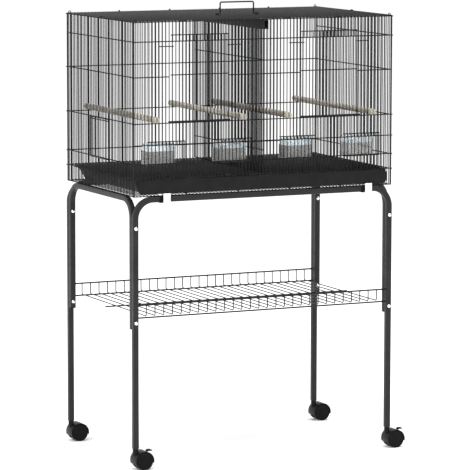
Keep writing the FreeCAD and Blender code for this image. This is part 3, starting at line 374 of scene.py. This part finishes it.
def rounded_corners(corners, bend, steps=8):
    """Straight runs between corners, joined by arcs of one radius."""
    corners = [Vector(corner) for corner in corners]
    path = [corners[0]]
    for before, corner, after in zip(corners, corners[1:], corners[2:]):
        backward = (before - corner).normalized()
        forward = (after - corner).normalized()
        half_angle = backward.angle(forward) / 2
        reach = bend / math.tan(half_angle)
        centre = corner + (backward + forward).normalized() * (bend / math.sin(half_angle))
        start = corner + backward * reach - centre
        end = corner + forward * reach - centre
        turn = math.pi - 2 * half_angle
        for step in range(steps + 1):
            share = step / steps
            swung = start * math.sin((1 - share) * turn) + end * math.sin(share * turn)
            path.append(centre + swung / math.sin(turn))
    path.append(corners[-1])
    return path


def rounded_square(half, corner, steps=4):
    """Outline of a square tube."""
    outline = []
    for quarter in range(4):
        turn = quarter * math.pi / 2
        for step in range(steps + 1):
            angle = turn + math.pi / 2 * step / steps
            x = (half - corner) * (1 if quarter in (0, 3) else -1) + corner * math.cos(angle)
            y = (half - corner) * (1 if quarter in (0, 1) else -1) + corner * math.sin(angle)
            outline.append((x, y))
    return outline


# ---- reading the CAD model ----

def solid_boxes(node):
    """Lowest and highest corner of each separate solid in a CAD node."""
    mesh = frame["nodes"][node].data
    points = numpy.zeros(len(mesh.vertices) * 3)
    mesh.vertices.foreach_get("co", points)
    points = points.reshape(-1, 3)
    edges = numpy.zeros(len(mesh.edges) * 2, dtype=int)
    mesh.edges.foreach_get("vertices", edges)
    rounded = numpy.round(points / (0.005 * MM)).astype(numpy.int64)
    corners, same = numpy.unique(rounded, axis=0, return_inverse=True)
    same = same.reshape(-1)
    starts, ends = same[edges.reshape(-1, 2)].T
    owner = numpy.arange(len(corners))
    while True:
        lowest = numpy.minimum(owner[starts], owner[ends])
        updated = owner.copy()
        numpy.minimum.at(updated, starts, lowest)
        numpy.minimum.at(updated, ends, lowest)
        updated = updated[updated]
        if (updated == owner).all():
            break
        owner = updated
    owner = owner[same]
    boxes = []
    for solid in numpy.unique(owner):
        members = points[owner == solid]
        boxes.append((Vector(members.min(0)), Vector(members.max(0))))
    return boxes


def body_of(node):
    return frame["nodes"][node].parent.name.removeprefix("body:")


def straight_wires(node, short_axis=None):
    """(start, end, radius) of every straight wire in a CAD node.

    A wire shorter than 3 mm lies along short_axis.
    """
    wires = []
    for low, high in solid_boxes(node):
        extent = high - low
        axis = max(range(3), key=lambda index: extent[index])
        if extent[axis] < 3 * MM:
            axis = short_axis
        across = sorted(extent[index] for index in range(3) if index != axis)
        if across[1] > 1.2 * across[0]:
            continue
        radius = min(WIRE_RADII, key=lambda known: abs(known * MM - across[1] / 2)) * MM
        middle = (low + high) / 2
        start, end = middle.copy(), middle.copy()
        start[axis], end[axis] = low[axis], high[axis]
        wires.append((start, end, radius))
    return wires


def refine(node, slot, bevel, segments=2):
    """The CAD node's own shape with its edges broken by a small radius."""
    shape = bmesh.new()
    shape.from_mesh(frame["nodes"][node].data)
    bmesh.ops.remove_doubles(shape, verts=shape.verts, dist=0.002 * MM)
    bmesh.ops.dissolve_limit(shape, angle_limit=math.radians(0.6), verts=shape.verts, edges=shape.edges)
    sharp = [edge for edge in shape.edges
             if len(edge.link_faces) == 2 and edge.calc_face_angle() > math.radians(32)]
    if bevel:
        bmesh.ops.bevel(shape, geom=sharp, offset=bevel * MM, segments=segments, profile=0.5,
                        affect="EDGES", clamp_overlap=True)
    mesh = bpy.data.meshes.new(node + "_finish")
    shape.to_mesh(mesh)
    shape.free()
    return finish_piece(mesh, node + "_finish", body_of(node), slot, [node])


# ---- stand ----

def square_tubes():
    """Bent square tubes, with the paint running smoothly round the bends."""
    half, bend = 7.5 * MM, 50 * MM
    for node in ("front_tube", "rear_tube", "left_side_tube", "right_side_tube"):
        low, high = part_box(node)
        centre = (low + high) / 2
        top = high.z - half
        if node.endswith("side_tube"):
            corners = [(centre.x, low.y + half, low.z), (centre.x, low.y + half, top),
                       (centre.x, high.y - half, top), (centre.x, high.y - half, low.z)]
        else:
            corners = [(low.x + half, centre.y, low.z), (low.x + half, centre.y, top),
                       (high.x - half, centre.y, top), (high.x - half, centre.y, low.z)]
        form = Form()
        form.sweep(rounded_corners(corners, bend, steps=20), rounded_square(half, 2.2 * MM))
        form.piece(node + "_finish", "stand_and_cage", "frame_paint", node)


def frame_bolts():
    """Domed bolts, heads to the front."""
    form = Form()
    for low, high in solid_boxes("frame_bolts"):
        middle = (low + high) / 2
        length = (high.y - low.y) / MM
        profile = ((0.2, 0), (1.5, 0.1), (2.9, 0.5), (4.1, 1.2), (4.9, 2.2), (5.2, 3.1), (5.2, 3.4),
                   (2.5, 3.4), (2.5, length - 0.8), (1.9, length), (0.2, length))
        form.lathe((middle.x, low.y, middle.z), (0, 1, 0), [(r * MM, h * MM) for r, h in profile])
    form.piece("frame_bolts_finish", "stand_and_cage", "bolt_chrome", "frame_bolts")


def shelf():
    """Basket shelf: rims, one wire across, and wires bent up at both ends."""
    floor = Form()
    for low, high in solid_boxes("shelf_floor"):
        extent = high - low
        x = (low.x + high.x) / 2
        if extent.x > extent.y:
            centre = (low + high) / 2
            floor.wire([(low.x, centre.y, centre.z), (high.x, centre.y, centre.z)], 2 * MM, sides=16)
            continue
        radius = 1.5 * MM
        near, far, bottom = low.y + radius, high.y - radius, low.z + radius
        corners = [(x, near, high.z), (x, near, bottom), (x, far, bottom), (x, far, high.z)]
        floor.wire(rounded_corners(corners, 3 * radius), radius)
    floor.piece("shelf_floor_finish", "stand_and_cage", "shelf_paint", "shelf_floor")
    for node in ("shelf_front_rim", "shelf_rear_rim"):
        wirework(node, "shelf_paint")


def stand_fittings():
    refine("frame_nuts", "bolt_chrome", 0.35)
    refine("short_leg_plugs", "plug_plastic", 0.5)
    refine("caster_sockets", "plug_plastic", 0.3)
    refine("cage_clips", "clip_plastic", 0.45)
    # Black saddles beside the white clips are painted shade for the clips' unlit sides.
    refine("clip_saddles", "saddle_rubber", 0.4)


# ---- casters ----

def casters():
    for place in CASTER_PLACES:
        refine("caster_hood_" + place, "hood_plastic", 0.5, segments=3)
        twin_wheels(place)
        if place.startswith("front"):
            brake_lever(place)


def twin_wheels(place):
    """Two wheels with a hub cap, a sunk face and a rounded tread."""
    node = "caster_wheels_" + place
    low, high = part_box(node)
    centre = (low + high) / 2
    radius = (high.z - low.z) / 2 / MM
    face = (high.y - low.y) / 2 / MM
    inner = 3.9
    profile = ((0.2, inner), (radius - 1.4, inner), (radius - 0.4, inner + 0.4), (radius, inner + 1.4),
               (radius, face - 2.4), (radius - 0.3, face - 1.2), (radius - 1.2, face - 0.3),
               (radius - 2.4, face), (radius - 4.2, face), (radius - 4.7, face - 0.3),
               (radius - 5.1, face - 1.1), (radius - 5.8, face - 1.3), (6.4, face - 1.1), (5.9, face - 0.9),
               (5.4, face - 0.4), (4.6, face - 0.1), (0.2, face))
    form = Form()
    for side in (-1, 1):
        form.lathe(centre, (0, side, 0), [(r * MM, h * MM) for r, h in profile], sides=56)
    form.piece(node + "_finish", body_of(node), "wheel_plastic", node, "caster_axle_" + place)


def brake_lever(place):
    """A tab like a duck's bill, rooted on its pin."""
    node = "brake_lever_" + place
    root_radius = 2.8 * MM
    low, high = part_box(node)
    half_width = (high.y - low.y) / 2
    pivot = Vector((low.x + root_radius, (low.y + high.y) / 2, low.z + root_radius))
    # Each section: distance ahead of the pin, rise of its middle, half its thickness, share of the width.
    sections = ((-2.6, 0.4, 0.9, 0.6), (-1.6, 0.6, 2.6, 0.75), (1.5, 1.0, 3.0, 0.86), (5.0, 1.5, 2.7, 0.95),
                (8.5, 1.3, 2.5, 1.0), (11.0, 0.6, 2.2, 0.98), (12.6, 0.0, 1.5, 0.9), (13.3, -0.3, 0.6, 0.75))
    steps = 20
    rings = []
    for ahead, rise, thick, wide in sections:
        ring = []
        for step in range(steps):
            turn = 2 * math.pi * step / steps
            across = math.copysign(abs(math.cos(turn)) ** 0.6, math.cos(turn))
            up = math.copysign(abs(math.sin(turn)) ** 0.8, math.sin(turn))
            ring.append(pivot + Vector((ahead * MM, across * wide * half_width, (rise + up * thick) * MM)))
        rings.append(ring)
    form = Form()
    form.loft(rings)
    form.piece(node + "_finish", body_of(node), "lever_plastic", node)


# ---- cage ----

def wirework(node, slot="wire_paint", short_axis=None, form=None):
    """All straight wires of a CAD node as one piece, with their coat of paint."""
    form = form or Form()
    for start, end, radius in straight_wires(node, short_axis):
        form.wire([start, end], radius + PAINT)
    return form.piece(node + "_finish", body_of(node), slot, node)


def corner_hooks(form, node, inward):
    """Ends of a wall's cross wires, hooked round the corner wires.

    inward is the direction of the wall's inner side along Y.
    """
    run_in, tail_length = 4 * MM, 4.5 * MM
    low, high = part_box(node)
    for start, end, radius in straight_wires(node):
        if end.x - start.x < 0.9 * (high.x - low.x):
            continue
        for tip, side in ((start, -1), (end, 1)):
            reach = radius + 1.1 * MM
            centre = Vector((tip.x + side * 0.5 * MM, tip.y - inward * reach, tip.z))
            turns = [math.pi * step / 8 for step in range(9)]
            arc = [centre + Vector((side * reach * math.sin(turn), inward * reach * math.cos(turn), 0))
                   for turn in turns]
            root = tip - Vector((side * run_in, 0, 0))
            tail = arc[-1] - Vector((side * tail_length, 0, 0))
            form.wire([root] + arc + [tail], radius + PAINT)


def outermost_uprights(form, node, radius):
    """The outermost uprights of a wall or door, which are stouter than the rest."""
    low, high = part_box(node)
    uprights = [(start, end) for start, end, plain_radius in straight_wires(node, short_axis=1)
                if end.z - start.z > 0.9 * (high.z - low.z)]
    for choose in (min, max):
        form.wire(choose(uprights, key=lambda upright: upright[0].x), radius)


def roof_hooks():
    """Eyes at the ends of the roof's stouter wires, closed round the walls' top wires."""
    form = Form()
    low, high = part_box("roof_panel")
    wall_low, wall_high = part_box("front_panel")
    radius, reach = 1.8 * MM, 3.2 * MM
    inset = reach + radius + 0.1 * MM
    z = high.z - 1.6 * MM
    sideways, lengthways = Vector((1, 0, 0)), Vector((0, 1, 0))
    eyes = []
    for start, end, wire_radius in straight_wires("roof_panel"):
        if end.x - start.x > 0.5 * (high.x - low.x):
            eyes.append((Vector((wall_low.x + inset, start.y, z)), sideways))
            eyes.append((Vector((wall_high.x - inset, start.y, z)), sideways))
        elif wire_radius > 1.2 * MM:
            y = low.y + inset if start.y < 0 else high.y - inset
            eyes.append((Vector((start.x, y, z)), lengthways))
    turns = [math.radians(angle) for angle in range(-60, 241, 20)]
    for centre, outward in eyes:
        form.wire([centre + outward * (reach * math.cos(turn)) + Vector((0, 0, reach * math.sin(turn)))
                   for turn in turns], radius)
    form.piece("roof_hooks", "stand_and_cage", "wire_paint")


def runners():
    """(start, end) of the stouter wires below the tray, which run from front to back."""
    low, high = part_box("bottom_frame")
    return [(start, end) for start, end, radius in straight_wires("bottom_frame")
            if radius > 1.5 * MM and end.y - start.y > 0.5 * (high.y - low.y)]


def runner_hooks():
    """Both ends of the runners, bent down over the bottom frame."""
    form = Form()
    root, reach, dip, drop = 3 * MM, 1.9 * MM, 0.6 * MM, 2.4 * MM
    for start, end in runners():
        for tip, side in ((start, -1), (end, 1)):
            bend = Vector((tip.x, tip.y + side * reach, tip.z - dip))
            form.wire([tip - Vector((0, side * root, 0)), tip, bend, bend - Vector((0, 0, drop))], 1.5 * MM)
    form.piece("runner_hooks", "stand_and_cage", "wire_paint")


def grate_hooks():
    """Short wire ends hooked over the front and rear walls' low cross wires, above the runners."""
    form = Form()
    wall_low, wall_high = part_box("front_panel")
    cross_wires = [start for start, end, radius in straight_wires("front_panel")
                   if end.x - start.x > 0.9 * (wall_high.x - wall_low.x)]
    grate_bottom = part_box("floor_grate")[0].z
    carrier = min(cross_wires, key=lambda start: abs(start.z - grate_bottom))
    radius, reach = 1.3 * MM, 2.9 * MM
    for start, end in runners():
        for side in (-1, 1):
            centre = Vector((start.x, side * abs(carrier.y), carrier.z))
            turns = [math.radians(angle) for angle in range(0, 181, 20)]
            form.wire([centre + Vector((0, side * reach * math.cos(turn), reach * math.sin(turn)))
                       for turn in turns], radius)
    form.piece("grate_hooks", "stand_and_cage", "wire_paint")


def walls():
    for node, inward in (("front_panel", 1), ("rear_panel", -1)):
        form = Form()
        corner_hooks(form, node, inward)
        outermost_uprights(form, node, 2.3 * MM)
        wirework(node, form=form)
    for node in ("left_panel", "right_panel", "roof_panel", "bottom_frame", "floor_grate"):
        wirework(node)
    roof_hooks()
    runner_hooks()
    grate_hooks()


def doors():
    """Wire doors; the large ones have stouter side wires."""
    for node in ("front_door_left", "front_door_right"):
        form = Form()
        outermost_uprights(form, node, 1.38 * MM)
        wirework(node, short_axis=1, form=form)
    for number in range(1, 5):
        wirework("feeder_door_%d" % number, short_axis=1)
    for node in ("side_door_left", "side_door_right"):
        wirework(node, short_axis=0)


def door_guides():
    """Short cranked wires that hold the large doors against the front wall."""
    form = Form()
    radius = 1.3 * MM
    crank_start, crank_end = 16.5 * MM, 9 * MM
    left_door, right_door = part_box("front_door_left"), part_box("front_door_right")
    between_doors = (left_door[1].x + right_door[0].x) / 2
    for low, high in solid_boxes("door_guides"):
        middle = (low + high) / 2
        door_low, door_high = left_door if middle.x < between_doors else right_door
        away = -1 if middle.x < (door_low.x + door_high.x) / 2 else 1
        outer, inner = (low.x, high.x) if away < 0 else (high.x, low.x)
        near, far = high.y - radius, low.y + radius
        corners = ((outer, near), (inner + away * crank_start, near),
                   (inner + away * crank_end, far), (inner, far))
        form.wire(rounded_corners([(x, y, middle.z) for x, y in corners], 3 * MM, steps=6), radius)
    form.piece("door_guides_finish", "stand_and_cage", "wire_paint", "door_guides")


def divider():
    wirework("divider_panel")
    refine("divider_rail", "rail_plastic", 0.4)


def handle():
    """Wire bail and the rings that it turns in."""
    low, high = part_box("handle")
    radius, grip_half = 2 * MM, 49.8 * MM
    y = (low.y + high.y) / 2
    middle = (low.x + high.x) / 2
    bottom, top = low.z + radius, high.z - radius
    corners = [(low.x, y, bottom), (middle - grip_half, y, bottom), (middle - grip_half, y, top),
               (middle + grip_half, y, top), (middle + grip_half, y, bottom), (high.x, y, bottom)]
    form = Form()
    form.wire(rounded_corners(corners, 4.5 * MM), radius, sides=20)
    form.piece("handle_finish", "handle", "wire_paint", "handle")
    refine("handle_eyelets", "wire_paint", 0.5, segments=3)
    refine("corner_loops", "wire_paint", 0.4, segments=3)


def furnishings():
    refine("tray", "tray_plastic", 0.7, segments=3)
    for number in range(1, 5):
        refine("feeder_cup_%d" % number, "cup_plastic", 0.6, segments=3)
        refine("perch_%d" % number, "perch_wood", 0.6, segments=2)
    refine("cup_hoods", "clear_plastic", 0.4)


MATERIALS = make_materials()
place_camera()
lay_floor()
light_scene()
square_tubes()
frame_bolts()
shelf()
stand_fittings()
casters()
walls()
doors()
door_guides()
divider()
handle()
furnishings()
